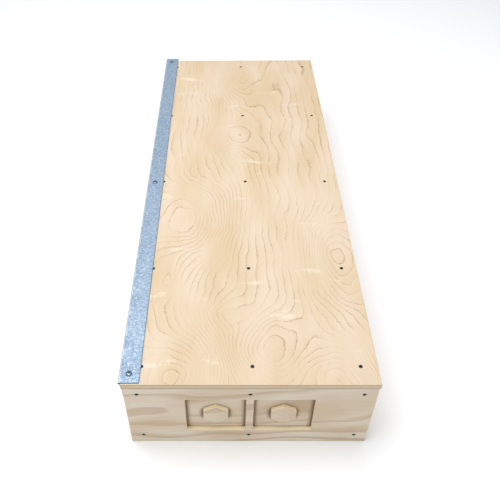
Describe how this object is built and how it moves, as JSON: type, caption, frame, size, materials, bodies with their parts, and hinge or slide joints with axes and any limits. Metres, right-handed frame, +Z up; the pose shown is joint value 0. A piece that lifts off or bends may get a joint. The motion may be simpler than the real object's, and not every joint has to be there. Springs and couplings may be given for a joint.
{
  "type": "top bar hive",
  "caption": "Long low wooden top bar beehive: flat-sided box with loose comb bars, a sliding follower board, plugged entrances and a plywood lid on a full-length hinge.",
  "frame": {"origin": "centre of the hive's underside, on the floor panel's lower face", "axes": "+Y along the hive from the carved front end to the rear, +X towards the side with the bee entrances, +Z up; the lid's hinge is on the -X side"},
  "size_m": [0.4753, 1.23, 0.2003],
  "materials": {
    "birch_ply": "bare sanded rotary-cut birch plywood",
    "pine": "bare planed pine",
    "zinc_steel": "galvanised, spangled",
    "screw_steel": "zinc plated",
    "turned_plug": "bare turned wood"
  },
  "bodies": {
    "hive_box": {"bar_ledge_left": "pine", "bar_ledge_right": "pine", "corner_post_front_left": "pine", "corner_post_front_right": "pine", "corner_post_rear_left": "pine", "corner_post_rear_right": "pine", "end_board_front": "pine", "end_board_rear": "pine", "end_rail_front": "pine", "end_rail_rear": "pine", "floor_panel": "birch_ply", "floor_rail_front": "pine", "floor_rail_rear": "pine", "hinge_leaf_side": "zinc_steel", "hinge_pin": "zinc_steel", "side_wall_left": "birch_ply", "side_wall_right": "birch_ply", "top_bar_01": "pine", "top_bar_02": "pine", "top_bar_03": "pine", "top_bar_04": "pine", "top_bar_05": "pine", "top_bar_06": "pine", "top_bar_07": "pine", "top_bar_08": "pine", "top_bar_09": "pine", "top_bar_10": "pine", "top_bar_11": "pine", "top_bar_12": "pine", "top_bar_13": "pine", "top_bar_14": "pine", "top_bar_15": "pine", "top_bar_16": "pine", "top_bar_17": "pine", "top_bar_18": "pine", "top_bar_19": "pine", "top_bar_20": "pine", "top_bar_21": "pine", "top_bar_22": "pine", "wall_hinge_screw_1": "screw_steel", "wall_hinge_screw_2": "screw_steel", "wall_hinge_screw_3": "screw_steel"},
    "lid": {"hinge_leaf_lid": "zinc_steel", "lid_batten_1": "pine", "lid_batten_2": "pine", "lid_batten_3": "pine", "lid_batten_4": "pine", "lid_batten_5": "pine", "lid_hinge_screw_1": "screw_steel", "lid_hinge_screw_2": "screw_steel", "lid_hinge_screw_3": "screw_steel", "lid_panel": "birch_ply"},
    "follower": {"follower_bar": "pine", "follower_board": "birch_ply"},
    "plug_front": {"entrance_plug_1": "turned_plug"},
    "plug_rear": {"entrance_plug_2": "turned_plug"}
  },
  "joints": [
    {"name": "lid_hinge", "type": "hinge", "parent": "hive_box", "child": "lid", "pos_m": [-0.2345, 0, 0.1954], "axis": [0, -1, 0], "range_deg": [0, 200]},
    {"name": "follower_slide", "type": "slide", "parent": "hive_box", "child": "follower", "axis": [0, 1, 0], "range_m": [0, 0.315]},
    {"name": "plug_front_pull", "type": "slide", "parent": "hive_box", "child": "plug_front", "axis": [1, 0, 0], "range_m": [0, 0.03]},
    {"name": "plug_rear_pull", "type": "slide", "parent": "hive_box", "child": "plug_rear", "axis": [1, 0, 0], "range_m": [0, 0.03]}
  ]
}
